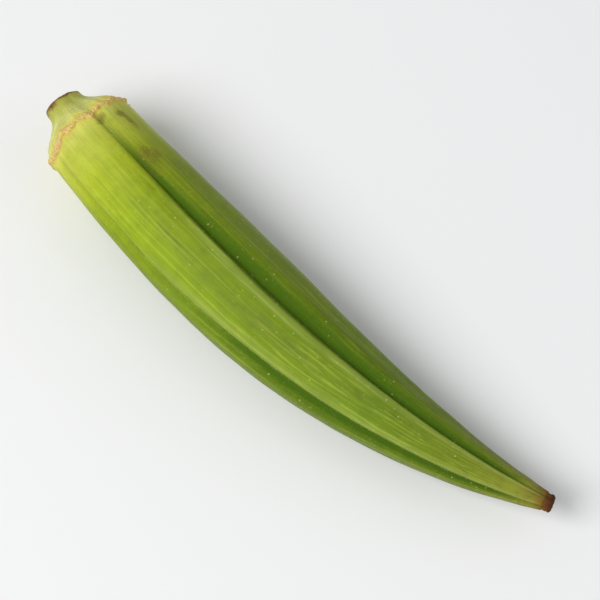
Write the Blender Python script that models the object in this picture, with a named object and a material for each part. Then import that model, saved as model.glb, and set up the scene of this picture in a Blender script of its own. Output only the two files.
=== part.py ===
"""An okra pod as picked, lying on its side.

The pod grew as one piece, so it is one closed solid: five ribs with narrow furrows between them,
the corky ring where the calyx fell off, the domed cap, the short cut stem and the blunt tip.

Metres, +Z up. The pod lies along X, with the cut stem towards -X and the tip towards +X.
The origin is under the middle of the pod's box, on the surface that the pod rests on.
Stations are lengths along the pod's curved middle line: 0 at the ring, negative on the cap.
"""

import math

import bmesh
import bpy
from mathutils import Matrix, Vector

MM = 0.001

# Driving dimensions
POD_LENGTH = 100 * MM  # from the ring to the tip
CAP_LENGTH = 7.0 * MM  # from the ring to the cut end of the stem
BELLY_RADIUS = 9.3 * MM
STEM_RADIUS = 3.3 * MM

# The body's outline from ring to tip: shares of POD_LENGTH, and of BELLY_RADIUS over the ribs
BODY_OUTLINE = (
    (0.000, 0.865),
    (0.080, 0.915),
    (0.200, 0.975),
    (0.330, 1.000),
    (0.460, 0.960),
    (0.600, 0.830),
    (0.740, 0.630),
    (0.860, 0.420),
    (0.940, 0.262),
    (0.985, 0.174),
)
# The blunt tip is the brown foot of the fallen style
STYLE_START = 0.985  # share of POD_LENGTH
STYLE_RADIUS = 1.45 * MM
STYLE_ROUNDING = 0.50 * MM

# The cap's outline from the ring to the stem: shares of CAP_LENGTH, and radii
CAP_OUTLINE = (
    (0.00, 8.05 * MM),
    (0.14, 7.60 * MM),
    (0.30, 6.60 * MM),
    (0.47, 5.20 * MM),
    (0.62, 4.10 * MM),
    (0.76, 3.50 * MM),
    (1.00, STEM_RADIUS),
)
STEM_EDGE = 0.35 * MM  # the softened edge of the cut
CUT_DISH = 0.30 * MM  # how far the cut's drying middle sinks
CUT_SLANT = math.radians(6)  # the knife didn't go quite square
CAP_RIBS = 10
CAP_RIB_HEIGHT = 0.14 * MM

# The ring is a low corky ridge. It bows out over each rib, and its edge is uneven
RING_HEIGHT = 0.34 * MM
RING_HALF_WIDTH = 0.50 * MM
RING_BOW = 0.6 * MM  # how far it turns towards the tip at each furrow
RING_WANDER = 0.22 * MM
RING_REACH = 2.4 * MM  # how far from the ring the skin follows its bows

# Ribs and furrows, as angles round the pod: 0 towards +Y and 90 degrees upwards
FURROWS = [math.radians(a) for a in (84, 160, 234, 306, 373)]
RING_FURROW = 0.050  # the furrows' depth at the ring, as a share of the radius
BELLY_FURROW = 0.125  # their depth at the belly
TIP_FURROW = 0.175  # their depth on the way to the tip
RING_FURROW_WIDTH = 0.15  # share of a rib's half width, where the furrow is 63% filled
TIP_FURROW_WIDTH = 0.25  # the same from mid-length to the tip
# The share by which each furrow is narrower on the side of larger angles, and wider on the other
FURROW_LEANS = (0.35, -0.10, 0.15, -0.15, 0.10)
RIB_HOLLOW = 0.20  # share of the furrow's depth by which a rib's middle sinks below its shoulders
TWIST = math.radians(-6)  # of the ribs, over POD_LENGTH

# The pod's curve, and how it lies
TIP_TURN = math.radians(27)
TURN_POWER = 1.9  # above 1, the tip half bends more than the stem half
TIP_DROOP = math.radians(-1.3)
REST_FLAT_DEPTH = 0.28 * MM

# Mesh density
COLUMNS_PER_RIB = 12
COLUMNS = COLUMNS_PER_RIB * len(FURROWS)
FURROW_PINCH = 0.55  # how far the columns crowd towards the furrows
BODY_ROWS = 28
CAP_ROWS = 8
CURVE_STEPS = 240

SKIN_GREEN = (0.330, 0.430, 0.045, 1)
CORK_TAN = (0.560, 0.330, 0.090, 1)
CUT_CREAM = (0.640, 0.580, 0.270, 1)
TIP_BROWN = (0.170, 0.065, 0.025, 1)


def clear_scene():
    for obj in list(bpy.data.objects):
        bpy.data.objects.remove(obj, do_unlink=True)


def plant_material(name, colour, roughness):
    material = bpy.data.materials.new(name)
    material.use_nodes = True
    material.diffuse_color = colour
    shader = material.node_tree.nodes["Principled BSDF"]
    shader.inputs["Base Color"].default_value = colour
    shader.inputs["Roughness"].default_value = roughness
    shader.inputs["Metallic"].default_value = 0
    return material


def smooth_step(low, high, value):
    share = min(max((value - low) / (high - low), 0), 1)
    return share * share * (3 - 2 * share)


def through(points, x):
    """The height at x of a smooth curve through (x, height) points, which never overshoots them."""
    last = len(points) - 1
    slopes = []
    for i in range(last + 1):
        before, after = points[max(i - 1, 0)], points[min(i + 1, last)]
        here = points[i]
        if 0 < i < last and (here[1] - before[1]) * (after[1] - here[1]) <= 0:
            slopes.append(0)
        else:
            slopes.append((after[1] - before[1]) / (after[0] - before[0]))
    for i in range(last):
        (x0, y0), (x1, y1) = points[i], points[i + 1]
        if x <= x1 or i == last - 1:
            span = x1 - x0
            t = min(max((x - x0) / span, 0), 1)
            rise = (1 + 2 * t) * (1 - t) ** 2 * y0 + t * t * (3 - 2 * t) * y1
            return rise + span * (t * (1 - t) ** 2 * slopes[i] - t * t * (1 - t) * slopes[i + 1])


def body_radius(station):
    return BELLY_RADIUS * through(BODY_OUTLINE, station / POD_LENGTH)


def cap_radius(station):
    return through(CAP_OUTLINE, -station / CAP_LENGTH)


def outline():
    """The turned outline as (station, radius) points, from the middle of the cut to the tip."""
    cut = -CAP_LENGTH
    points = [(cut, 0), (cut, 0.5 * STEM_RADIUS), (cut, STEM_RADIUS - STEM_EDGE)]
    points.append((cut + STEM_EDGE, STEM_RADIUS))
    ring_foot = 2 * RING_HALF_WIDTH
    for i in range(1, CAP_ROWS + 1):
        share = i / (CAP_ROWS + 1)
        station = cut + STEM_EDGE + share * (CAP_LENGTH - STEM_EDGE - ring_foot)
        points.append((station, cap_radius(station)))
    for step in (-1, -0.5, 0, 0.5, 1):
        station = step * ring_foot
        skin = cap_radius(station) if station < 0 else body_radius(station)
        points.append((station, skin + RING_HEIGHT * math.exp(-((station / RING_HALF_WIDTH) ** 2))))
    style = STYLE_START * POD_LENGTH
    for i in range(1, BODY_ROWS + 1):
        station = ring_foot + (style - ring_foot) * i / BODY_ROWS
        points.append((station, body_radius(station)))
    points.append((style + STYLE_ROUNDING, STYLE_RADIUS))
    points.append((POD_LENGTH - STYLE_ROUNDING, STYLE_RADIUS))
    points.append((POD_LENGTH, STYLE_RADIUS - STYLE_ROUNDING))
    points.append((POD_LENGTH, 0))
    return points


def turned(points):
    """The outline spun round the X axis into a closed skin of COLUMNS columns."""
    mesh = bmesh.new()
    verts = [mesh.verts.new((station, radius, 0)) for station, radius in points]
    edges = [mesh.edges.new(pair) for pair in zip(verts, verts[1:])]
    bmesh.ops.spin(
        mesh,
        geom=verts + edges,
        cent=(0, 0, 0),
        axis=(1, 0, 0),
        angle=2 * math.pi,
        steps=COLUMNS,
        use_merge=True,
    )
    bmesh.ops.remove_doubles(mesh, verts=mesh.verts, dist=1e-6)
    bmesh.ops.recalc_face_normals(mesh, faces=mesh.faces)
    return mesh


def furrow_depth(station):
    """The furrows' depth as a share of the radius: they fade out on the cap, and deepen to the tip."""
    if station < 0:
        return RING_FURROW * (1 - smooth_step(0.1, 0.75, -station / CAP_LENGTH))
    share = station / POD_LENGTH
    belly = (BELLY_FURROW - RING_FURROW) * smooth_step(0.02, 0.34, share)
    return RING_FURROW + belly + (TIP_FURROW - BELLY_FURROW) * smooth_step(0.40, 0.75, share)


def rib_place(column):
    """For a column of the turned skin: (angle round the pod, share of the way across its rib, and
    its side's share of the nearest furrow's width)."""
    rib, place = divmod(column % COLUMNS, COLUMNS_PER_RIB)
    share = place / COLUMNS_PER_RIB
    share -= FURROW_PINCH * math.sin(2 * math.pi * share) / (2 * math.pi)
    start = FURROWS[rib]
    end = FURROWS[rib + 1] if rib + 1 < len(FURROWS) else FURROWS[0] + 2 * math.pi
    near, far = FURROW_LEANS[rib], FURROW_LEANS[(rib + 1) % len(FURROWS)]
    return start + (end - start) * share, share, 1 - near if share < 0.5 else 1 + far


def flute(mesh):
    """Sinks the furrows into the turned skin, ribs the cap, bows the ring and twists the ribs."""
    for vert in mesh.verts:
        station, radius = vert.co.x, math.hypot(vert.co.y, vert.co.z)
        if radius < 1e-6:
            continue
        column = round(math.atan2(vert.co.z, vert.co.y) / (2 * math.pi) * COLUMNS)
        angle, share, lean = rib_place(column)
        inward = 2 * min(share, 1 - share)
        widening = smooth_step(0.25, 0.50, station / POD_LENGTH)
        furrow_width = lean * (RING_FURROW_WIDTH + (TIP_FURROW_WIDTH - RING_FURROW_WIDTH) * widening)
        sink = math.exp(-((inward / furrow_width) ** 2)) + RIB_HOLLOW * smooth_step(0.45, 1, inward)
        radius *= 1 - furrow_depth(station) * sink
        down_cap = -station / CAP_LENGTH
        cap_rib = smooth_step(0.12, 0.3, down_cap) * (1 - smooth_step(0.6, 0.95, down_cap))
        radius -= CAP_RIB_HEIGHT * cap_rib * math.cos(2 * math.pi * share * CAP_RIBS / len(FURROWS))
        bow = RING_BOW * math.exp(-((inward / 0.42) ** 2))
        wander = RING_WANDER * (math.sin(13 * angle) + 0.5 * math.sin(29 * angle + 1))
        station += (bow + wander) * math.exp(-((station / RING_REACH) ** 2))
        angle += TWIST * station / POD_LENGTH
        vert.co = (station, radius * math.cos(angle), radius * math.sin(angle))


def shape_cut(mesh):
    """Slants the cut across the stem and sinks its middle."""
    for vert in mesh.verts:
        depth = vert.co.x + CAP_LENGTH
        if depth > 3 * STEM_EDGE:
            continue
        hold = 1 - depth / (3 * STEM_EDGE)
        across = math.hypot(vert.co.y, vert.co.z) / STEM_RADIUS
        slant = math.tan(CUT_SLANT) * vert.co.y
        vert.co.x += hold * (slant + CUT_DISH * max(0, 1 - across * across))


def middle_line():
    """The pod's curved middle line as a list of (station, point, heading), in small steps."""
    whole = POD_LENGTH + CAP_LENGTH
    step = whole / CURVE_STEPS
    place = Vector((0, 0, 0))
    line = []
    for i in range(CURVE_STEPS + 1):
        heading = TIP_TURN * (i / CURVE_STEPS) ** TURN_POWER
        line.append((i * step - CAP_LENGTH, place.copy(), heading))
        place += step * Vector((math.cos(heading), math.sin(heading), 0))
    return line


def bend(mesh):
    """Bends the straight pod along its middle line, in the XY plane."""
    line = middle_line()
    step = line[1][0] - line[0][0]
    for vert in mesh.verts:
        index = min(max(int((vert.co.x - line[0][0]) / step), 0), CURVE_STEPS - 1)
        station, place, heading = line[index]
        along = vert.co.x - station
        heading += (line[index + 1][2] - heading) * along / step
        ahead = Vector((math.cos(heading), math.sin(heading), 0))
        aside = Vector((-math.sin(heading), math.cos(heading), 0))
        vert.co = place + along * ahead + vert.co.y * aside + Vector((0, 0, vert.co.z))


def lay_down(mesh):
    """Turns the pod's chord along X, tips it onto its belly, and gives it a small flat to rest on."""
    start, end = middle_line()[0][1], middle_line()[-1][1]
    chord = math.atan2(end.y - start.y, end.x - start.x)
    bmesh.ops.transform(
        mesh,
        matrix=Matrix.Rotation(-TIP_DROOP, 4, "Y") @ Matrix.Rotation(-chord, 4, "Z"),
        verts=mesh.verts,
    )
    floor = min(vert.co.z for vert in mesh.verts) + REST_FLAT_DEPTH
    cut = bmesh.ops.bisect_plane(
        mesh,
        geom=mesh.verts[:] + mesh.edges[:] + mesh.faces[:],
        dist=1e-7,
        plane_co=(0, 0, floor),
        plane_no=(0, 0, -1),
        clear_outer=True,
    )
    rim = [item for item in cut["geom_cut"] if isinstance(item, bmesh.types.BMEdge)]
    bmesh.ops.contextual_create(mesh, geom=rim)
    bmesh.ops.recalc_face_normals(mesh, faces=mesh.faces)
    xs = [vert.co.x for vert in mesh.verts]
    ys = [vert.co.y for vert in mesh.verts]
    middle = Vector(((min(xs) + max(xs)) / 2, (min(ys) + max(ys)) / 2, floor))
    bmesh.ops.translate(mesh, vec=-middle, verts=mesh.verts)


def paint_rows(mesh):
    """Marks the faces of the ring, the cut and the tip, which have colours of their own."""
    ring_foot = 1.3 * RING_HALF_WIDTH
    for face in mesh.faces:
        station = face.calc_center_median().x
        if station < -CAP_LENGTH + 0.5 * STEM_EDGE:
            face.material_index = 2
        elif abs(station) < ring_foot:
            face.material_index = 1
        elif station > STYLE_START * POD_LENGTH:
            face.material_index = 3


def make_pod():
    mesh = turned(outline())
    paint_rows(mesh)
    flute(mesh)
    shape_cut(mesh)
    bend(mesh)
    lay_down(mesh)
    data = bpy.data.meshes.new("okra_pod")
    mesh.to_mesh(data)
    mesh.free()
    data.materials.append(plant_material("okra skin", SKIN_GREEN, 0.5))
    data.materials.append(plant_material("corky calyx scar", CORK_TAN, 0.8))
    data.materials.append(plant_material("cut stem", CUT_CREAM, 0.7))
    data.materials.append(plant_material("dried style", TIP_BROWN, 0.85))
    data.shade_smooth()
    data.set_sharp_from_angle(angle=math.radians(50))
    return bpy.data.objects.new("okra_pod", data)


def main():
    clear_scene()
    collection = bpy.data.collections.new("Okra pod")
    bpy.context.scene.collection.children.link(collection)
    collection.objects.link(make_pod())


main()
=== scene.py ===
"""A freshly picked okra pod, lying on a pale table under soft studio light.

The pod is built the way it grew: a straight skin of five ribs round its middle line, from the cut
stem to the blunt tip. The skin is then twisted, bent and laid down on its belly.
Lengths are in millimetres until the finished shape is brought into the scene's metres.
"""

import math

import bmesh
import bpy
import numpy as np
from mathutils import Matrix, Vector, noise


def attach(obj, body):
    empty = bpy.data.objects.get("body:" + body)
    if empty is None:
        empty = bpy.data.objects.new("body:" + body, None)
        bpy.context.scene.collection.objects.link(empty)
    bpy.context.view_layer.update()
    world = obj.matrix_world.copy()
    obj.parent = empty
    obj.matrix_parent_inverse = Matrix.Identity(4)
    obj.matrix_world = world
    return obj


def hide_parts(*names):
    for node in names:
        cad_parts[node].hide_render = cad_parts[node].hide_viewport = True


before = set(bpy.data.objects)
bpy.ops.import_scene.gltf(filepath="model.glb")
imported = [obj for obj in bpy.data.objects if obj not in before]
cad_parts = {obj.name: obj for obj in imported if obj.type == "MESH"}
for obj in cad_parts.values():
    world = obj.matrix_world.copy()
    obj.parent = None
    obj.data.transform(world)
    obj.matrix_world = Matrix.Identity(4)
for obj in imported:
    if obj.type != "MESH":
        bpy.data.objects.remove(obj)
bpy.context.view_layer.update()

# The pod's shape
# One fruit, grown in one piece. Its skin runs in five broad ribs with narrow furrows between them,
# from the corky ring where the calyx broke away to the blunt tip where the style fell off. Behind
# the ring is the domed cap with a stub of stem, cut off with a knife.

MM = 0.001
POD_LENGTH = 100.0  # from the ring to the tip
CAP_LENGTH = 7.0  # from the ring to the cut end of the stem
BELLY_RADIUS = 9.3
BODY_OUTLINE = (  # share of the length from ring to tip, and of the belly's radius over the ribs
    (0.000, 0.865),
    (0.080, 0.915),
    (0.200, 0.975),
    (0.330, 1.000),
    (0.460, 0.960),
    (0.600, 0.830),
    (0.740, 0.630),
    (0.860, 0.420),
    (0.940, 0.262),
    (0.985, 0.174),
)
STEM_RADIUS = 3.3
CAP_OUTLINE = (  # share of the length from ring to cut, and radius
    (0.00, 8.05),
    (0.14, 7.60),
    (0.30, 6.60),
    (0.47, 5.20),
    (0.62, 4.10),
    (0.76, 3.50),
    (1.00, STEM_RADIUS),
)
STEM_EDGE = 0.35
STYLE_START = 98.5
STYLE_RADIUS = 1.45
STYLE_ROUNDING = 0.50


def curve_through(points, x):
    """Heights at x of a smooth curve through (x, height) points, which never overshoots them."""
    px, py = np.array(points).T
    slope = np.gradient(py, px)
    slope[1:-1] = (py[2:] - py[:-2]) / (px[2:] - px[:-2])
    slope[1:-1][(py[1:-1] - py[:-2]) * (py[2:] - py[1:-1]) <= 0] = 0
    i = np.clip(np.searchsorted(px, x) - 1, 0, len(px) - 2)
    span = px[i + 1] - px[i]
    t = np.clip((x - px[i]) / span, 0, 1)
    level = (1 + 2 * t) * (1 - t) ** 2 * py[i] + t * t * (3 - 2 * t) * py[i + 1]
    return level + span * (t * (1 - t) ** 2 * slope[i] - t * t * (1 - t) * slope[i + 1])


def skin_radius(station):
    """The radius over the ribs, without the ring, at stations counted from the ring towards the tip."""
    body = BELLY_RADIUS * curve_through(BODY_OUTLINE, station / POD_LENGTH)
    cap = curve_through(CAP_OUTLINE, -station / CAP_LENGTH)
    return np.where(station < 0, cap, body)


# The profile runs from the middle of the cut, out over its edge, along the pod and in again at the tip
CUT_POINTS, STYLE_POINTS, TIP_POINTS = 15, 4, 7
TIP_EDGE = 0.5
QUARTER_ROUND = np.linspace(0, math.pi / 2, 6)[1:]
profile = [(-CAP_LENGTH, radius) for radius in np.linspace(0, STEM_RADIUS - STEM_EDGE, CUT_POINTS)]
for arc in QUARTER_ROUND:
    edge_x = -CAP_LENGTH + STEM_EDGE * (1 - math.cos(arc))
    profile.append((edge_x, STEM_RADIUS - STEM_EDGE * (1 - math.sin(arc))))
STRETCHES = (  # from, to and number of rows, closest at the crumpled ring
    (-CAP_LENGTH + STEM_EDGE, -1.6, 38),
    (-1.6, 1.8, 56),
    (1.8, 10.0, 42),
    (10.0, 90.0, 210),
    (90.0, STYLE_START, 36),
)
for first, last, rows in STRETCHES:
    stations = np.linspace(first, last, rows + 1)[1:]
    profile += list(zip(stations, skin_radius(stations)))
shoulder = profile[-1][1]
for arc in QUARTER_ROUND:
    foot_x = STYLE_START + STYLE_ROUNDING * (1 - math.cos(arc))
    profile.append((foot_x, shoulder - (shoulder - STYLE_RADIUS) * math.sin(arc)))
for x in np.linspace(STYLE_START + STYLE_ROUNDING, POD_LENGTH - TIP_EDGE, STYLE_POINTS)[1:]:
    profile.append((x, STYLE_RADIUS))
for arc in QUARTER_ROUND:
    end_x = POD_LENGTH - TIP_EDGE + TIP_EDGE * math.sin(arc)
    profile.append((end_x, STYLE_RADIUS - TIP_EDGE * (1 - math.cos(arc))))
profile += [(POD_LENGTH, radius) for radius in np.linspace(STYLE_RADIUS - TIP_EDGE, 0, TIP_POINTS)[1:]]

RIB_COLUMNS = 38
FURROWS = np.radians((84, 160, 234, 306, 373))  # 0 is towards +Y, and 90 degrees is up
COLUMNS = RIB_COLUMNS * len(FURROWS)
RIB_TURN = 2 * math.pi / len(FURROWS)
one_rib = bmesh.new()
row_layer = one_rib.verts.layers.int.new("row")
corners = [one_rib.verts.new((x, radius, 0)) for x, radius in profile]
for row, corner in enumerate(corners):
    corner[row_layer] = row
lines = [one_rib.edges.new(pair) for pair in zip(corners, corners[1:])]
bmesh.ops.spin(
    one_rib,
    geom=corners + lines,
    cent=(0, 0, 0),
    axis=(1, 0, 0),
    angle=RIB_TURN,
    steps=RIB_COLUMNS,
)
rib_mesh = bpy.data.meshes.new("one_rib")
one_rib.to_mesh(rib_mesh)
one_rib.free()
pod = bmesh.new()
for _ in FURROWS:
    pod.from_mesh(rib_mesh)
    rib_mesh.transform(Matrix.Rotation(RIB_TURN, 4, "X"))
bpy.data.meshes.remove(rib_mesh)
bmesh.ops.remove_doubles(pod, verts=pod.verts, dist=1e-3)
bmesh.ops.recalc_face_normals(pod, faces=pod.faces)
row_layer = pod.verts.layers.int["row"]


def grid_place(vert):
    """The vertex's number in one fixed order, row by row and column by column, on every run."""
    column = round(math.atan2(vert.co.z, vert.co.y) / (2 * math.pi) * COLUMNS) % COLUMNS
    return vert[row_layer] * COLUMNS + column


def face_place(face):
    """The face's number in the same order, by its first vertex and then by its last one.

    Two faces tie beside the middle of the cut, and two at the tip's, so either pair may swap places.
    """
    places = [vert.index for vert in face.verts]
    return min(places) + max(places) / len(pod.verts)


pod.verts.sort(key=grid_place)
pod.verts.index_update()
pod.faces.sort(key=face_place)
pod.verts.layers.int.remove(row_layer)


def smooth_step(low, high, value):
    share = np.clip((value - low) / (high - low), 0, 1)
    return share * share * (3 - 2 * share)


def bell(value, middle, width):
    return np.exp(-(((value - middle) / width) ** 2))


def lumps(points, size, seed):
    """Noise from about -1 to 1 at the points, whose lumps are size across, or (x, y, z) across."""
    return np.array([noise.noise(Vector(p)) for p in (points / np.array(size) + seed).tolist()])


turned = np.array([vert.co[:] for vert in pod.verts])
station = turned[:, 0]
radius = np.hypot(turned[:, 1], turned[:, 2])
column = np.round(np.arctan2(turned[:, 2], turned[:, 1]) / (2 * math.pi) * COLUMNS).astype(int) % COLUMNS

# Ribs: the columns crowd towards the furrows
FURROW_PINCH = 0.55
rib, rib_column = np.divmod(column, RIB_COLUMNS)
share = rib_column / RIB_COLUMNS
share = share - FURROW_PINCH * np.sin(2 * math.pi * share) / (2 * math.pi)
furrow_ends = np.append(FURROWS, FURROWS[0] + 2 * math.pi)
angle = furrow_ends[rib] + (furrow_ends[rib + 1] - furrow_ends[rib]) * share
inward = 2 * np.minimum(share, 1 - share)  # 0 in a furrow, 1 on a rib's middle
grown = np.stack([station, radius * np.cos(angle), radius * np.sin(angle)], axis=1)

# Furrows fade out on the cap and deepen towards the tip, and a crest rises over each steeper wall
RING_FURROW, BELLY_FURROW, TIP_FURROW = 0.050, 0.125, 0.175  # shares of the radius
RING_FURROW_WIDTH, TIP_FURROW_WIDTH = 0.15, 0.25  # shares of a rib's half width
FURROW_LEANS = np.array((0.35, -0.10, 0.15, -0.15, 0.10))  # how far one wall is the steeper one
RIB_HOLLOW = 0.20
CREST_HEIGHT = 0.022  # share of the radius
along = station / POD_LENGTH
down_cap = np.clip(-station / CAP_LENGTH, 0, 1)
depth = np.where(
    station < 0,
    RING_FURROW * (1 - smooth_step(0.1, 0.75, down_cap)),
    RING_FURROW
    + (BELLY_FURROW - RING_FURROW) * smooth_step(0.02, 0.34, along)
    + (TIP_FURROW - BELLY_FURROW) * smooth_step(0.40, 0.75, along),
)
widening = smooth_step(0.25, 0.50, along)
lean = np.where(share < 0.5, 1 - FURROW_LEANS[rib], 1 + FURROW_LEANS[(rib + 1) % len(FURROWS)])
furrow_width = lean * (RING_FURROW_WIDTH + (TIP_FURROW_WIDTH - RING_FURROW_WIDTH) * widening)
furrow = bell(inward, 0, furrow_width)
hollow = RIB_HOLLOW * smooth_step(0.45, 1, inward)
crest_at = 0.10 + 1.15 * furrow_width
crest_side = smooth_step(0.14, 0.36, along) * np.clip((1.25 - lean) / 0.35, 0, 1)
crest = crest_side * bell(inward, crest_at, 0.05 + 0.4 * furrow_width)
shaped = radius * (1 - depth * (furrow + hollow) + CREST_HEIGHT * crest)

# Skin: seeds show as faint swellings down each rib, and veins run lengthwise under the skin
WAVE_HEIGHT, SEED_HEIGHT, VEIN_HEIGHT, FIBRE_HEIGHT = 0.10, 0.06, 0.050, 0.022
on_body = smooth_step(0.5, 3, station) * (1 - smooth_step(96, 98.5, station))
shaped += on_body * WAVE_HEIGHT * lumps(grown, (8, 5, 5), 3)
shaped += on_body * SEED_HEIGHT * lumps(grown, (4.2, 3.4, 3.4), 11) * smooth_step(0.35, 0.8, inward)
shaped += on_body * VEIN_HEIGHT * lumps(grown, (30, 1.1, 1.1), 21)
shaped += on_body * FIBRE_HEIGHT * lumps(grown, (14, 0.6, 0.6), 25)

# Ring: a low torn ridge of cork, with a narrow moat on the cap's side and a shallow one past it
RING_HEIGHT = 0.34
RING_HALF_WIDTH = 0.50
CRUMB_SIZE, CRUMB_HEIGHT = 0.40, 0.05
CAP_MOAT, BODY_MOAT = 0.13, 0.06
ragged = lumps(grown, (2.0, 0.9, 0.9), 31)
crumbs = lumps(grown, CRUMB_SIZE, 37)
ridge = bell(station, 0.10 * ragged, RING_HALF_WIDTH * (1 + 0.45 * lumps(grown, 1.3, 33)))
shaped += RING_HEIGHT * ridge * (1 + 0.75 * ragged + 0.25 * crumbs)
shaped += CRUMB_HEIGHT * bell(station, 0, 0.9) * crumbs
shaped -= CAP_MOAT * bell(station, -0.95, 0.26) + BODY_MOAT * bell(station, 1.0, 0.30)

# Cap: ten shallow ribs, with fine wrinkles over it and along the stub
CAP_RIBS = 10
CAP_RIB_HEIGHT = 0.14
WRINKLE_HEIGHT, GRAIN_HEIGHT = 0.07, 0.03
on_cap = smooth_step(0.12, 0.3, down_cap) * (1 - smooth_step(0.6, 0.95, down_cap))
shaped -= CAP_RIB_HEIGHT * on_cap * np.cos(2 * math.pi * share * CAP_RIBS / len(FURROWS))
behind_ring = smooth_step(0.10, 0.2, down_cap) * smooth_step(1.5, 3.2, radius)
wrinkles = WRINKLE_HEIGHT * lumps(grown, (3.5, 0.8, 0.8), 41) + GRAIN_HEIGHT * lumps(grown, 0.4, 43)
shaped += behind_ring * wrinkles

# Tip: the last of the skin shrinks on to the dry foot of the style in lengthwise folds
FOLD_HEIGHT, STYLE_LUMP_HEIGHT = 0.10, 0.16
on_tip = smooth_step(90, 98, station) * smooth_step(0.5, 1.4, radius)
shaped += on_tip * FOLD_HEIGHT * lumps(grown, (5, 0.7, 0.7), 51)
on_style = smooth_step(98.2, 98.8, station) * smooth_step(0.3, 1.2, radius)
shaped += on_style * STYLE_LUMP_HEIGHT * lumps(grown, 0.55, 53)

# Shifts along the pod: the ring bends towards the tip at each furrow and has small teeth
RING_BOW = 0.6
RING_WANDER = 0.22
RING_TEAR = 0.30
RING_REACH = 2.4
bow = RING_BOW * bell(inward, 0, 0.42)
teeth = RING_WANDER * (np.sin(13 * angle) + 0.5 * np.sin(29 * angle + 1))
teeth += RING_TEAR * lumps(grown, 0.9, 61)
moved = station + (bow + teeth) * bell(station, 0, RING_REACH)

# Ends: the cut slants and is dished, with its pith and its ring of strands a little proud, and the
# tip's end is uneven with a sunken middle
CUT_SLANT = math.radians(6)
CUT_DISH = 0.30
STRAND_HEIGHT, PITH_HEIGHT = 0.16, 0.10
TIP_UNEVEN, TIP_HOLLOW = 0.14, 0.28
hold = np.clip(1 - (station + CAP_LENGTH) / (3 * STEM_EDGE), 0, 1)
across = radius / STEM_RADIUS
torn = 0.05 * lumps(grown, (1, 0.35, 0.35), 71) + 0.07 * lumps(grown, (1, 1.3, 1.3), 73)
proud = STRAND_HEIGHT * bell(across, 0.80, 0.09) + PITH_HEIGHT * bell(across, 0, 0.22)
moved += hold * (math.tan(CUT_SLANT) * shaped * np.cos(angle) + CUT_DISH * np.clip(1 - across**2, 0, 1))
moved += hold * (torn - proud)
tip_end = smooth_step(99.4, 100, station)
moved += tip_end * (TIP_UNEVEN * lumps(grown, (1, 0.6, 0.6), 81) - TIP_HOLLOW * bell(radius, 0, 0.7))

# Twist, bend and droop
TWIST = math.radians(-6)
TIP_TURN = math.radians(27)
TURN_POWER = 1.9
TIP_DROOP = math.radians(-1.3)
REST_FLAT_DEPTH = 0.28
CURVE_STEPS = 240
angle = angle + TWIST * moved / POD_LENGTH
step = (POD_LENGTH + CAP_LENGTH) / CURVE_STEPS
heading = TIP_TURN * (np.arange(CURVE_STEPS + 1) / CURVE_STEPS) ** TURN_POWER
line_x = np.concatenate([[0], np.cumsum(step * np.cos(heading[:-1]))])
line_y = np.concatenate([[0], np.cumsum(step * np.sin(heading[:-1]))])
index = np.clip(((moved + CAP_LENGTH) / step).astype(int), 0, CURVE_STEPS - 1)
beyond = moved + CAP_LENGTH - index * step
facing = heading[index] + (heading[index + 1] - heading[index]) * beyond / step
aside = shaped * np.cos(angle)
bent_x = line_x[index] + beyond * np.cos(facing) - aside * np.sin(facing)
bent_y = line_y[index] + beyond * np.sin(facing) + aside * np.cos(facing)
bent = np.stack([bent_x, bent_y, shaped * np.sin(angle)], axis=1)
chord = math.atan2(line_y[-1], line_x[-1])
lie = Matrix.Rotation(-TIP_DROOP, 3, "Y") @ Matrix.Rotation(-chord, 3, "Z")
laid = bent @ np.array(lie).T
laid[:, 2] = np.maximum(laid[:, 2] - laid[:, 2].min() - REST_FLAT_DEPTH, 0)
laid[:, :2] -= (laid[:, :2].min(axis=0) + laid[:, :2].max(axis=0)) / 2
for vert, finished in zip(pod.verts, laid * MM):
    vert.co = finished
pod.normal_update()

CUT_DEPTH = 0.02  # how far up the stem the cut's own material reaches
for face in pod.faces:
    face.smooth = True
    last_station = max(grown[vert.index][0] for vert in face.verts)
    face.material_index = int(last_station < -CAP_LENGTH + CUT_DEPTH)
pod_mesh = bpy.data.meshes.new("okra_pod_skin")
pod.to_mesh(pod_mesh)

# Places that the skin's colours follow. Bruises: station, angle in degrees, length and breadth
BRUISES = (
    (13.0, 71, 3.0, 1.9),
    (3.0, 60, 1.0, 0.9),
    (5.6, 54, 2.0, 0.7),
    (2.0, 84, 1.6, 1.0),
    (37.0, 196, 3.2, 0.9),
    (58.0, 268, 4.0, 1.2),
    (71.0, 28, 3.4, 0.8),
)
bruise = np.zeros(len(station))
for bruise_at, turn, length, breadth in BRUISES:
    here = np.radians(turn)
    outward = skin_radius(np.array([bruise_at])) * np.array([np.cos(here), np.sin(here)])
    off = (grown - [bruise_at, *outward]) / [length, breadth, breadth]
    bruise += np.exp(-(off**2).sum(axis=1))

# The furrows' deep green and painted shade are broader on the gentler wall, and the painted highlight on
# the crest lies over the steeper one
FURROW_GREEN_AND_SHADE = np.array((1.0, 0.50, 0.85, 0.85, 0.85))  # how dark each furrow is near the ring, deep green with painted shade
RING_GREEN_AND_SHADE, BELLY_GREEN_AND_SHADE = 0.15, 0.17  # half widths as shares of a rib's, the second added to the first
CREST_FADE = 0.38
furrow_shade_tone = FURROW_GREEN_AND_SHADE[np.where(share < 0.5, rib, (rib + 1) % len(FURROWS))]
furrow_shade_tone = furrow_shade_tone + (1 - furrow_shade_tone) * smooth_step(0.30, 0.55, along)
green_and_shade_width = RING_GREEN_AND_SHADE + BELLY_GREEN_AND_SHADE * smooth_step(0.10, 0.45, along)
# Painted shade in the furrows, with their deep green, reaching farther over the gentler wall
shade = bell(inward, 0, np.maximum(lean, 2.2 * lean - 1.2) * green_and_shade_width)
shade *= furrow_shade_tone
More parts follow.
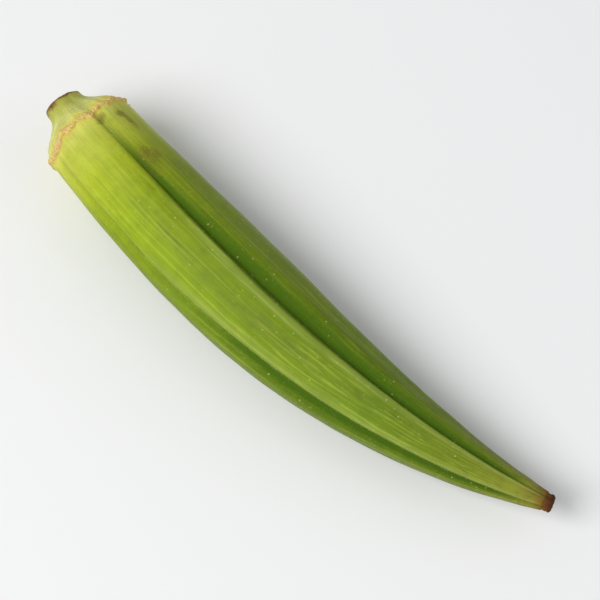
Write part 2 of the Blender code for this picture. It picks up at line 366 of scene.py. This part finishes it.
# Painted highlight: a pale band along the crest over each steeper wall
pale = crest_side * smooth_step(0.6 * crest_at, crest_at, inward)
pale *= 1 - smooth_step(crest_at, crest_at + CREST_FADE, inward)
# The furrow mark carries deep green with painted shade, and the crest mark a painted highlight
marks = {"furrow": shade, "crest": pale, "rib_middle": inward, "bruise": bruise}
pod_mesh.attributes.new("grown", "FLOAT_VECTOR", "POINT").data.foreach_set("vector", grown.ravel())
for name, values in marks.items():
    pod_mesh.attributes.new(name, "FLOAT", "POINT").data.foreach_set("value", values)
pod_skin = bpy.data.objects.new("okra_pod_skin", pod_mesh)
bpy.context.scene.collection.objects.link(pod_skin)
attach(pod_skin, "root")
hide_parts("okra_pod")

# The pod's skin
# Fresh green plant skin, waxy and a little velvety: yellow-green and pale next to the ring, deeper
# green along the belly, darkest down in the furrows with deep green and painted shade, tan at the ring
# and dull brown at the tip. Painted shade also darkens the far and lower sides, and a painted
# highlight runs pale along the crests.


def linear(code):
    """An sRGB hex colour as linear light with full alpha."""
    levels = [int(code[i : i + 2], 16) / 255 for i in (0, 2, 4)]
    return (*[v / 12.92 if v <= 0.04045 else ((v + 0.055) / 1.055) ** 2.4 for v in levels], 1)


def node(tree, kind, inputs=None, stops=(), **settings):
    """Adds a node. An input is a value or another node's socket, and stops are a ramp's colours."""
    made = tree.nodes.new(kind)
    for name, value in settings.items():
        setattr(made, name, value)
    for socket, value in (inputs or {}).items():
        if isinstance(value, bpy.types.NodeSocket):
            tree.links.new(value, made.inputs[socket])
        else:
            made.inputs[socket].default_value = value
    for i, (position, colour) in enumerate(stops):
        element = made.color_ramp.elements[i] if i < 2 else made.color_ramp.elements.new(position)
        element.position = position
        element.color = colour
    return made


skin = bpy.data.materials.new("okra skin")
skin.use_nodes = True
tree = skin.node_tree
tree.nodes.clear()
spot = node(tree, "ShaderNodeAttribute", attribute_name="grown").outputs["Vector"]
in_furrow = node(tree, "ShaderNodeAttribute", attribute_name="furrow").outputs["Fac"]
on_crest = node(tree, "ShaderNodeAttribute", attribute_name="crest").outputs["Fac"]
on_bruise = node(tree, "ShaderNodeAttribute", attribute_name="bruise").outputs["Fac"]
to_middle = node(tree, "ShaderNodeAttribute", attribute_name="rib_middle").outputs["Fac"]
axes = node(tree, "ShaderNodeSeparateXYZ", {0: spot})
at = axes.outputs["X"]

# Colour from the cut stem to the tip, at stations in millimetres
COLOUR_START, COLOUR_END = -8.0, 100.0
GROWTH_COLOURS = (
    (-8.0, "A9A548"),
    (-5.0, "C2C460"),
    (-2.5, "D6D67A"),
    (0.5, "D0D068"),
    (3.5, "BFC549"),
    (10.0, "A8B628"),
    (18.0, "92A718"),
    (32.0, "829A18"),
    (50.0, "779014"),
    (72.0, "728B1A"),
    (86.0, "839426"),
    (94.0, "9CA236"),
    (97.2, "A39A3C"),
    (98.5, "96702F"),
    (99.2, "7E4A2C"),
    (100.0, "5E3222"),
)
fraction = node(
    tree, "ShaderNodeMapRange", {0: at, 1: COLOUR_START, 2: COLOUR_END, 3: 0.0, 4: 1.0}
).outputs[0]
drift = node(
    tree, "ShaderNodeTexNoise", {"Vector": spot, "Scale": 0.09, "Detail": 3.0, "Roughness": 0.6}
).outputs["Fac"]
drifted = node(
    tree, "ShaderNodeMath", {0: drift, 1: 0.045, 2: -0.0225}, operation="MULTIPLY_ADD"
).outputs[0]
ramp_place = node(tree, "ShaderNodeMath", {0: fraction, 1: drifted}, operation="ADD").outputs[0]
whole = COLOUR_END - COLOUR_START
growth = node(
    tree,
    "ShaderNodeValToRGB",
    {0: ramp_place},
    stops=[((mm - COLOUR_START) / whole, linear(code)) for mm, code in GROWTH_COLOURS],
).outputs["Color"]

# Veins: pale threads a millimetre apart that wander along the ribs, between finer, darker streaks
VEINS = 5.5  # from a furrow to the middle of its rib
vein_space = node(
    tree, "ShaderNodeVectorMath", {0: spot, 1: (0.035, 1.0, 1.0)}, operation="MULTIPLY"
).outputs[0]
vein_patch = node(
    tree, "ShaderNodeTexNoise", {"Vector": vein_space, "Scale": 0.9, "Detail": 2.0, "Roughness": 0.5}
).outputs["Fac"]
vein_bend = node(
    tree, "ShaderNodeMapRange", {0: vein_patch, 1: 0.0, 2: 1.0, 3: -5.0, 4: 5.0}
).outputs[0]
vein_turn = node(
    tree, "ShaderNodeMath", {0: to_middle, 1: 2 * math.pi * VEINS, 2: vein_bend}, operation="MULTIPLY_ADD"
).outputs[0]
vein_wave = node(tree, "ShaderNodeMath", {0: vein_turn}, operation="SINE").outputs[0]
vein_crest = node(
    tree,
    "ShaderNodeMapRange",
    {0: vein_wave, 1: 0.1, 2: 1.0, 3: 0.0, 4: 1.0},
    interpolation_type="SMOOTHSTEP",
).outputs[0]
vein_presence = node(
    tree,
    "ShaderNodeMapRange",
    {0: vein_patch, 1: 0.36, 2: 0.60, 3: 0.25, 4: 1.0},
    interpolation_type="SMOOTHSTEP",
).outputs[0]
dry = node(tree, "ShaderNodeMapRange", {0: at, 1: 96.5, 2: 98.8, 3: 0.0, 4: 1.0}).outputs[0]
fresh = node(tree, "ShaderNodeMath", {0: 1.0, 1: dry}, operation="SUBTRACT").outputs[0]
vein_shown = node(
    tree, "ShaderNodeMath", {0: vein_crest, 1: vein_presence}, operation="MULTIPLY"
).outputs[0]
vein_line = node(tree, "ShaderNodeMath", {0: vein_shown, 1: fresh}, operation="MULTIPLY").outputs[0]
streak = node(
    tree, "ShaderNodeTexNoise", {"Vector": vein_space, "Scale": 2.6, "Detail": 2.0, "Roughness": 0.6}
).outputs["Fac"]
streak_line = node(
    tree,
    "ShaderNodeMapRange",
    {0: streak, 1: 0.52, 2: 0.72, 3: 0.0, 4: 1.0},
    interpolation_type="SMOOTHSTEP",
).outputs[0]
mottle = node(
    tree, "ShaderNodeTexNoise", {"Vector": spot, "Scale": 0.42, "Detail": 5.0, "Roughness": 0.65}
).outputs["Fac"]
grit = node(
    tree, "ShaderNodeTexNoise", {"Vector": spot, "Scale": 3.5, "Detail": 3.0, "Roughness": 0.6}
).outputs["Fac"]

vein_strength = node(
    tree, "ShaderNodeMath", {0: vein_line, 1: 0.36}, operation="MULTIPLY"
).outputs[0]
veined = node(
    tree, "ShaderNodeMix", {0: vein_strength, 6: growth, 7: linear("B3BF4C")}, data_type="RGBA"
).outputs[2]
streak_depth = node(
    tree,
    "ShaderNodeMapRange",
    {0: at, 1: 2.0, 2: 26.0, 3: 0.14, 4: 0.48},
    interpolation_type="SMOOTHSTEP",
).outputs[0]
streak_strength = node(
    tree, "ShaderNodeMath", {0: streak_line, 1: streak_depth}, operation="MULTIPLY"
).outputs[0]
streaked = node(
    tree, "ShaderNodeMix", {0: streak_strength, 6: veined, 7: linear("5F7B0C")}, data_type="RGBA"
).outputs[2]
mottle_tone = node(
    tree, "ShaderNodeMapRange", {0: mottle, 1: 0.3, 2: 0.7, 3: 0.86, 4: 1.10}
).outputs[0]
band = node(
    tree, "ShaderNodeTexNoise", {"Vector": vein_space, "Scale": 0.45, "Detail": 1.0, "Roughness": 0.5}
).outputs["Fac"]
band_tone = node(tree, "ShaderNodeMapRange", {0: band, 1: 0.3, 2: 0.7, 3: 0.86, 4: 1.08}).outputs[0]
tone = node(tree, "ShaderNodeMath", {0: mottle_tone, 1: band_tone}, operation="MULTIPLY").outputs[0]
mottled = node(
    tree, "ShaderNodeMix", {0: 1.0, 6: streaked, 7: tone}, data_type="RGBA", blend_type="MULTIPLY"
).outputs[2]

# Painted shade: the far and lower sides are darkened, though not close to the ring
far_painted_shade = node(
    tree,
    "ShaderNodeMapRange",
    {0: axes.outputs["Y"], 1: -7.5, 2: 4.0, 3: 1.05, 4: 0.80},
    interpolation_type="SMOOTHSTEP",
).outputs[0]
low_painted_shade = node(
    tree,
    "ShaderNodeMapRange",
    {0: axes.outputs["Z"], 1: 0.5, 2: 3.5, 3: 0.74, 4: 1.0},
    interpolation_type="SMOOTHSTEP",
).outputs[0]
side_painted_shade = node(tree, "ShaderNodeMath", {0: far_painted_shade, 1: low_painted_shade}, operation="MULTIPLY").outputs[0]
past_ring = node(
    tree,
    "ShaderNodeMapRange",
    {0: at, 1: -0.5, 2: 16.0, 3: 0.0, 4: 1.0},
    interpolation_type="SMOOTHSTEP",
).outputs[0]
with_side_shade = node(
    tree,
    "ShaderNodeMix",
    {0: past_ring, 6: mottled, 7: side_painted_shade},
    data_type="RGBA",
    blend_type="MULTIPLY",
).outputs[2]

# Crests: a painted highlight, pale over the steeper walls of the furrows
crest_patch = node(
    tree, "ShaderNodeMapRange", {0: vein_presence, 1: 0.0, 2: 1.0, 3: 0.65, 4: 1.0}
).outputs[0]
crest_fresh = node(tree, "ShaderNodeMath", {0: crest_patch, 1: fresh}, operation="MULTIPLY").outputs[0]
crest_highlight_mask = node(
    tree, "ShaderNodeMath", {0: on_crest, 1: crest_fresh}, operation="MULTIPLY"
).outputs[0]
crest_strength = node(
    tree,
    "ShaderNodeMapRange",
    {0: crest_highlight_mask, 1: 0.0, 2: 1.0, 3: 0.0, 4: 0.20},
    interpolation_type="SMOOTHSTEP",
).outputs[0]
with_crest_highlight = node(
    tree, "ShaderNodeMix", {0: crest_strength, 6: with_side_shade, 7: linear("C0CA74")}, data_type="RGBA"
).outputs[2]

# Furrows: deep green and painted shade with a ragged edge, but faint at the ring and where the tip turns
# brown
furrow_edge = node(
    tree, "ShaderNodeMath", {0: grit, 1: 0.5, 2: -0.25}, operation="MULTIPLY_ADD"
).outputs[0]
furrow_sum = node(tree, "ShaderNodeMath", {0: in_furrow, 1: furrow_edge}, operation="ADD").outputs[0]
furrow_mask = node(
    tree,
    "ShaderNodeMapRange",
    {0: furrow_sum, 1: 0.24, 2: 0.95, 3: 0.0, 4: 0.92},
    interpolation_type="SMOOTHSTEP",
).outputs[0]
furrow_start = node(
    tree,
    "ShaderNodeMapRange",
    {0: at, 1: 0.5, 2: 15.0, 3: 0.2, 4: 1.0},
    interpolation_type="SMOOTHSTEP",
).outputs[0]
furrow_end = node(
    tree,
    "ShaderNodeMapRange",
    {0: at, 1: 90.0, 2: 97.5, 3: 1.0, 4: 0.1},
    interpolation_type="SMOOTHSTEP",
).outputs[0]
furrow_reach = node(
    tree, "ShaderNodeMath", {0: furrow_start, 1: furrow_end}, operation="MULTIPLY"
).outputs[0]
furrow_dark = node(
    tree, "ShaderNodeMath", {0: furrow_mask, 1: furrow_reach}, operation="MULTIPLY"
).outputs[0]
furrowed = node(
    tree, "ShaderNodeMix", {0: furrow_dark, 6: with_crest_highlight, 7: linear("43640A")}, data_type="RGBA"
).outputs[2]

# Bruises: dull olive-brown, with ragged edges
bruise_ragged = node(
    tree, "ShaderNodeMath", {0: mottle, 1: 2.2, 2: -1.1}, operation="MULTIPLY_ADD"
).outputs[0]
bruise_sum = node(
    tree, "ShaderNodeMath", {0: on_bruise, 1: bruise_ragged}, operation="ADD"
).outputs[0]
bruise_mask = node(
    tree,
    "ShaderNodeMapRange",
    {0: bruise_sum, 1: 0.20, 2: 0.95, 3: 0.0, 4: 0.70},
    interpolation_type="SMOOTHSTEP",
).outputs[0]
bruised = node(
    tree, "ShaderNodeMix", {0: bruise_mask, 6: furrowed, 7: linear("6F6424")}, data_type="RGBA"
).outputs[2]

# Cork: tan, pale yellow and pink crumbs along a thin ragged line, with a yellow margin
crumb = node(
    tree, "ShaderNodeTexNoise", {"Vector": spot, "Scale": 1.1, "Detail": 6.0, "Roughness": 0.7}
).outputs["Fac"]
ring_distance = node(tree, "ShaderNodeMath", {0: at}, operation="ABSOLUTE").outputs[0]
patch = node(
    tree, "ShaderNodeTexNoise", {"Vector": spot, "Scale": 0.33, "Detail": 2.0, "Roughness": 0.5}
).outputs["Fac"]
ring_width = node(
    tree, "ShaderNodeMapRange", {0: patch, 1: 0.35, 2: 0.65, 3: 0.20, 4: 0.75}
).outputs[0]
ring_reach = node(
    tree, "ShaderNodeMath", {0: crumb, 1: 0.7, 2: ring_width}, operation="MULTIPLY_ADD"
).outputs[0]
ring_share = node(
    tree, "ShaderNodeMath", {0: ring_distance, 1: ring_reach}, operation="DIVIDE"
).outputs[0]
cork_mask = node(
    tree,
    "ShaderNodeMapRange",
    {0: ring_share, 1: 0.30, 2: 1.0, 3: 0.85, 4: 0.0},
    interpolation_type="SMOOTHSTEP",
).outputs[0]
cork_tan = node(
    tree,
    "ShaderNodeValToRGB",
    {0: grit},
    stops=[
        (0.35, linear("B47A42")),
        (0.42, linear("D6AA62")),
        (0.52, linear("E3C272")),
        (0.66, linear("EBD98E")),
    ],
).outputs["Color"]
pinkness = node(
    tree,
    "ShaderNodeMapRange",
    {0: patch, 1: 0.48, 2: 0.62, 3: 0.0, 4: 0.45},
    interpolation_type="SMOOTHSTEP",
).outputs[0]
cork_colour = node(
    tree, "ShaderNodeMix", {0: pinkness, 6: cork_tan, 7: linear("DAAC88")}, data_type="RGBA"
).outputs[2]
halo_mask = node(
    tree,
    "ShaderNodeMapRange",
    {0: ring_share, 1: 0.6, 2: 2.4, 3: 0.50, 4: 0.0},
    interpolation_type="SMOOTHSTEP",
).outputs[0]
haloed = node(
    tree, "ShaderNodeMix", {0: halo_mask, 6: bruised, 7: linear("DCCA50")}, data_type="RGBA"
).outputs[2]
corked = node(
    tree, "ShaderNodeMix", {0: cork_mask, 6: haloed, 7: cork_colour}, data_type="RGBA"
).outputs[2]

# The stub browns where the knife cut it
edge_wander = node(
    tree, "ShaderNodeMapRange", {0: crumb, 1: 0.3, 2: 0.7, 3: -0.5, 4: 0.5}
).outputs[0]
edge_at = node(tree, "ShaderNodeMath", {0: at, 1: edge_wander}, operation="ADD").outputs[0]
edge_mask = node(
    tree,
    "ShaderNodeMapRange",
    {0: edge_at, 1: -6.8, 2: -6.0, 3: 0.9, 4: 0.0},
    interpolation_type="SMOOTHSTEP",
).outputs[0]
edged = node(
    tree, "ShaderNodeMix", {0: edge_mask, 6: corked, 7: linear("6B3A20")}, data_type="RGBA"
).outputs[2]

# Scuffs: a few thin tan rubs, lengthwise
scuff_noise = node(
    tree, "ShaderNodeTexNoise", {"Vector": vein_space, "Scale": 0.55, "Detail": 5.0, "Roughness": 0.7}
).outputs["Fac"]
scuff_mask = node(
    tree,
    "ShaderNodeMapRange",
    {0: scuff_noise, 1: 0.66, 2: 0.75, 3: 0.0, 4: 0.6},
    interpolation_type="SMOOTHSTEP",
).outputs[0]
scuffed = node(
    tree, "ShaderNodeMix", {0: scuff_mask, 6: edged, 7: linear("8A7636")}, data_type="RGBA"
).outputs[2]

# Flecks: pale feet of hairs, about a quarter of a millimetre across and a millimetre or more apart
foot = node(tree, "ShaderNodeTexVoronoi", {"Vector": spot, "Scale": 0.95}, feature="F1")
foot_round = node(
    tree, "ShaderNodeMapRange", {0: foot.outputs["Distance"], 1: 0.07, 2: 0.15, 3: 1.0, 4: 0.0}
).outputs[0]
foot_draw = node(tree, "ShaderNodeSeparateColor", {0: foot.outputs["Color"]}).outputs[0]
foot_shown = node(
    tree, "ShaderNodeMapRange", {0: foot_draw, 1: 0.45, 2: 1.0, 3: 0.0, 4: 0.55}
).outputs[0]
fleck = node(tree, "ShaderNodeMath", {0: foot_round, 1: foot_shown}, operation="MULTIPLY").outputs[0]
skin_colour = node(
    tree, "ShaderNodeMix", {0: fleck, 6: scuffed, 7: linear("D8DD9C")}, data_type="RGBA"
).outputs[2]

# Surface: veins stand about 30 microns proud, streaks and grit about 10, and cork is rough
vein_height = node(
    tree, "ShaderNodeMath", {0: vein_line, 1: 0.04}, operation="MULTIPLY"
).outputs[0]
streak_height = node(
    tree, "ShaderNodeMath", {0: streak, 1: 0.035, 2: vein_height}, operation="MULTIPLY_ADD"
).outputs[0]
grit_height = node(
    tree, "ShaderNodeMath", {0: grit, 1: 0.030, 2: streak_height}, operation="MULTIPLY_ADD"
).outputs[0]
crumb_height = node(tree, "ShaderNodeMath", {0: crumb, 1: cork_mask}, operation="MULTIPLY").outputs[0]
height = node(
    tree, "ShaderNodeMath", {0: crumb_height, 1: 0.25, 2: grit_height}, operation="MULTIPLY_ADD"
).outputs[0]
bump = node(tree, "ShaderNodeBump", {"Height": height, "Strength": 0.8, "Distance": MM}).outputs[0]
dry_cork = node(tree, "ShaderNodeMath", {0: dry, 1: cork_mask}, operation="MAXIMUM").outputs[0]
dull = node(tree, "ShaderNodeMath", {0: dry_cork, 1: furrow_dark}, operation="MAXIMUM").outputs[0]
waxy = node(tree, "ShaderNodeMapRange", {0: mottle, 1: 0.3, 2: 0.7, 3: 0.42, 4: 0.56}).outputs[0]
rough = node(tree, "ShaderNodeMix", {0: dull, 2: waxy, 3: 0.85}, data_type="FLOAT").outputs[0]
shader = node(
    tree,
    "ShaderNodeBsdfPrincipled",
    {
        "Base Color": skin_colour,
        "Roughness": rough,
        "Normal": bump,
        "IOR": 1.42,
        "Subsurface Weight": 0.12,
        "Subsurface Radius": (1.1, 1.6, 0.5),
        "Subsurface Scale": 0.9 * MM,
        "Specular IOR Level": 0.14,
    },
)
node(tree, "ShaderNodeOutputMaterial", {"Surface": shader.outputs[0]})
pod_mesh.materials.append(skin)

# The cut end of the stem
# Fibrous flesh, cut across: spongy pale pith in the middle, a ring of tougher strands round it, green
# rind outside, and an edge that has dried and browned since the cut.

cut = bpy.data.materials.new("cut okra stem")
cut.use_nodes = True
tree = cut.node_tree
tree.nodes.clear()
spot = node(tree, "ShaderNodeAttribute", attribute_name="grown").outputs["Vector"]
flat_spot = node(tree, "ShaderNodeVectorMath", {0: spot, 1: (0, 1, 1)}, operation="MULTIPLY").outputs[0]
out_from_pith = node(tree, "ShaderNodeVectorMath", {0: flat_spot}, operation="LENGTH").outputs["Value"]
stain = node(
    tree, "ShaderNodeTexNoise", {"Vector": flat_spot, "Scale": 0.9, "Detail": 5.0, "Roughness": 0.65}
).outputs["Fac"]
fibre = node(
    tree, "ShaderNodeTexVoronoi", {"Vector": flat_spot, "Scale": 3.2}, feature="F1"
).outputs["Distance"]
uneven = node(
    tree, "ShaderNodeMath", {0: stain, 1: 0.9, 2: -0.45}, operation="MULTIPLY_ADD"
).outputs[0]
ring_place = node(tree, "ShaderNodeMath", {0: out_from_pith, 1: uneven}, operation="ADD").outputs[0]
cut_share = node(
    tree, "ShaderNodeMapRange", {0: ring_place, 1: 0.0, 2: STEM_RADIUS, 3: 0.0, 4: 1.0}
).outputs[0]
flesh = node(
    tree,
    "ShaderNodeValToRGB",
    {0: cut_share},
    stops=[
        (0.00, linear("D9D2A0")),
        (0.28, linear("CFC98C")),
        (0.52, linear("B9B567")),
        (0.66, linear("C7A968")),
        (0.76, linear("93964A")),
        (0.86, linear("7A5A2C")),
        (0.95, linear("54301A")),
    ],
).outputs["Color"]
fibre_tone = node(tree, "ShaderNodeMapRange", {0: fibre, 1: 0.0, 2: 0.5, 3: 0.80, 4: 1.1}).outputs[0]
flesh_toned = node(
    tree, "ShaderNodeMix", {0: 1.0, 6: flesh, 7: fibre_tone}, data_type="RGBA", blend_type="MULTIPLY"
).outputs[2]
bump = node(tree, "ShaderNodeBump", {"Height": fibre, "Strength": 0.7, "Distance": 0.15 * MM}).outputs[0]
shader = node(
    tree,
    "ShaderNodeBsdfPrincipled",
    {
        "Base Color": flesh_toned,
        "Roughness": 0.62,
        "Normal": bump,
        "Subsurface Weight": 0.2,
        "Subsurface Radius": (1.0, 0.9, 0.4),
        "Subsurface Scale": 0.6 * MM,
    },
)
node(tree, "ShaderNodeOutputMaterial", {"Surface": shader.outputs[0]})
pod_mesh.materials.append(cut)

# The down on the skin
# Okra is covered in short stiff hairs, pale and nearly clear, which lean towards the tip. Each is a
# thin three-sided spike rooted in the skin. The real ones are closer set and finer than these.

HAIRS = 12000
HAIR_SEED = 5
HAIR_LENGTHS = (0.12, 0.30)
HAIR_RADIUS = 0.014
HAIR_SIDES = 3
HAIR_ROOT = 0.05
HAIR_LEAN = Vector((0.45, 0.1, 0))  # added to a normal of length 1, mostly towards the tip
HAIR_SPREAD = 0.15  # how far the lean varies
FIRST_HAIR, LAST_HAIR = 1.6, 97  # stations
BARE_HEIGHT = 0.4  # no hairs this close to the table
SHOULDER, SHOULDER_WIDTH = 0.33, 0.2  # shares of a rib's half width, where hairs are closest
EVEN_WEIGHT, SHOULDER_WEIGHT = 0.6, 0.9
BOX_SLACK = 0.25  # how far a hair may stand out of the pod's own box
TABLE_GAP = 0.02  # how close a hair's end may come to the table

draw = np.random.default_rng(HAIR_SEED)
skin_faces, skin_corners = [], []
for face in pod.faces:
    in_order = sorted(face.verts, key=lambda vert: vert.index)
    nearest = in_order[0].index
    if FIRST_HAIR < grown[nearest][0] < LAST_HAIR and laid[nearest][2] > BARE_HEIGHT:
        skin_faces.append(face)
        skin_corners.append(in_order)
room = np.array([face.calc_area() for face in skin_faces])
across_rib = np.array([inward[in_order[0].index] for in_order in skin_corners])
weights = room * (EVEN_WEIGHT + SHOULDER_WEIGHT * bell(across_rib, SHOULDER, SHOULDER_WIDTH))
chosen = draw.choice(len(skin_faces), size=HAIRS, p=weights / weights.sum())
low, high = laid.min(axis=0) - BOX_SLACK, laid.max(axis=0) + BOX_SLACK
low[2] = TABLE_GAP
spike = bmesh.new()
bmesh.ops.create_cone(
    spike,
    cap_ends=True,
    segments=HAIR_SIDES,
    radius1=HAIR_RADIUS * MM,
    radius2=0,
    depth=MM,
    matrix=Matrix.Translation((0, 0, MM / 2)),
)
bmesh.ops.remove_doubles(spike, verts=spike.verts, dist=1e-7)
bmesh.ops.recalc_face_normals(spike, faces=spike.faces)
spike_mesh = bpy.data.meshes.new("spike")
spike.to_mesh(spike_mesh)
spike.free()
down = bmesh.new()
for face_index in chosen:
    in_order = skin_corners[face_index]
    mix = draw.dirichlet(np.ones(len(in_order)))
    root = sum((vert.co * float(w) for vert, w in zip(in_order, mix)), Vector())
    normal = skin_faces[face_index].normal
    slope = HAIR_LEAN + Vector(draw.normal(0, HAIR_SPREAD, 3))
    direction = (normal + slope - normal * slope.dot(normal)).normalized()
    hair_length = draw.uniform(*HAIR_LENGTHS)
    hair_end = root / MM + direction * hair_length
    if any(hair_end[i] < low[i] or hair_end[i] > high[i] for i in range(3)):
        continue
    aim = direction.to_track_quat("Z", "Y").to_matrix().to_4x4()
    stretch = Matrix.Scale(hair_length, 4, (0, 0, 1))
    hair_mesh = spike_mesh.copy()
    hair_mesh.transform(Matrix.Translation(root - direction * HAIR_ROOT * MM) @ aim @ stretch)
    down.from_mesh(hair_mesh)
    bpy.data.meshes.remove(hair_mesh)
bpy.data.meshes.remove(spike_mesh)
pod.free()
down_mesh = bpy.data.meshes.new("okra_down")
down.to_mesh(down_mesh)
down.free()
okra_down = bpy.data.objects.new("okra_down", down_mesh)
bpy.context.scene.collection.objects.link(okra_down)
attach(okra_down, "root")

hair = bpy.data.materials.new("okra hair")
hair.use_nodes = True
tree = hair.node_tree
tree.nodes.clear()
hair_spot = node(tree, "ShaderNodeTexCoord").outputs["Object"]
age = node(
    tree, "ShaderNodeTexNoise", {"Vector": hair_spot, "Scale": 600.0, "Detail": 1.0}
).outputs["Fac"]
hair_colour = node(
    tree,
    "ShaderNodeValToRGB",
    {0: age},
    stops=[(0.35, linear("C9D48C")), (0.65, linear("EFF2D0"))],
).outputs["Color"]
shader = node(
    tree, "ShaderNodeBsdfPrincipled", {"Base Color": hair_colour, "Roughness": 0.45, "IOR": 1.5}
)
node(tree, "ShaderNodeOutputMaterial", {"Surface": shader.outputs[0]})
down_mesh.materials.append(hair)

# The table, the light and the camera
# A pale matt table, a broad soft light high on the side that the pod bellies out to, a weaker one
# across from it, and a camera well above the pod, towards its tip and the side it bellies out to.

TABLE_HALF_WIDTH = 1.5  # metres
floor = bmesh.new()
bmesh.ops.create_grid(floor, x_segments=1, y_segments=1, size=TABLE_HALF_WIDTH)
floor_mesh = bpy.data.meshes.new("pale_table")
floor.to_mesh(floor_mesh)
floor.free()
pale_table = bpy.data.objects.new("pale_table", floor_mesh)
bpy.context.scene.collection.objects.link(pale_table)
table_top = bpy.data.materials.new("matt white table")
table_top.use_nodes = True
table_shader = table_top.node_tree.nodes["Principled BSDF"]
table_shader.inputs["Base Color"].default_value = linear("F7F7F7")
table_shader.inputs["Roughness"].default_value = 0.9
table_shader.inputs["Specular IOR Level"].default_value = 0.2
floor_mesh.materials.append(table_top)

LIGHTS = (  # name, place in metres, size, power in watts
    ("key", (-0.25, -0.60, 0.80), 0.70, 7.9),
    ("fill", (0.55, 0.45, 0.60), 0.80, 0.8),
)
for name, lamp_place, size, power in LIGHTS:
    lamp = bpy.data.lights.new(name, "AREA")
    lamp.shape = "DISK"
    lamp.size = size
    lamp.energy = power
    lamp_object = bpy.data.objects.new(name, lamp)
    lamp_object.location = lamp_place
    lamp_object.rotation_euler = (-Vector(lamp_place)).to_track_quat("-Z", "Y").to_euler()
    bpy.context.scene.collection.objects.link(lamp_object)

world = bpy.data.worlds.new("soft room")
world.use_nodes = True
background = world.node_tree.nodes["Background"]
background.inputs["Color"].default_value = linear("F4F6F8")
background.inputs["Strength"].default_value = 0.40
bpy.context.scene.world = world
bpy.context.scene.view_settings.view_transform = "Standard"

CAMERA_AZIMUTH = math.radians(41.4)  # from straight in front, towards the tip
CAMERA_ELEVATION = math.radians(66)
CAMERA_DISTANCE = 0.60  # metres, like the point that it looks at
CAMERA_LENS = 222
LOOK_AT = Vector((-0.0002, 0.0039, 0.008))
toward_camera = Vector(
    (
        math.sin(CAMERA_AZIMUTH) * math.cos(CAMERA_ELEVATION),
        -math.cos(CAMERA_AZIMUTH) * math.cos(CAMERA_ELEVATION),
        math.sin(CAMERA_ELEVATION),
    )
)
camera = bpy.data.cameras.new("camera")
camera.lens = CAMERA_LENS
camera_object = bpy.data.objects.new("camera", camera)
camera_object.location = LOOK_AT + CAMERA_DISTANCE * toward_camera
camera_object.rotation_euler = toward_camera.to_track_quat("Z", "Y").to_euler()
bpy.context.scene.collection.objects.link(camera_object)
bpy.context.scene.camera = camera_object
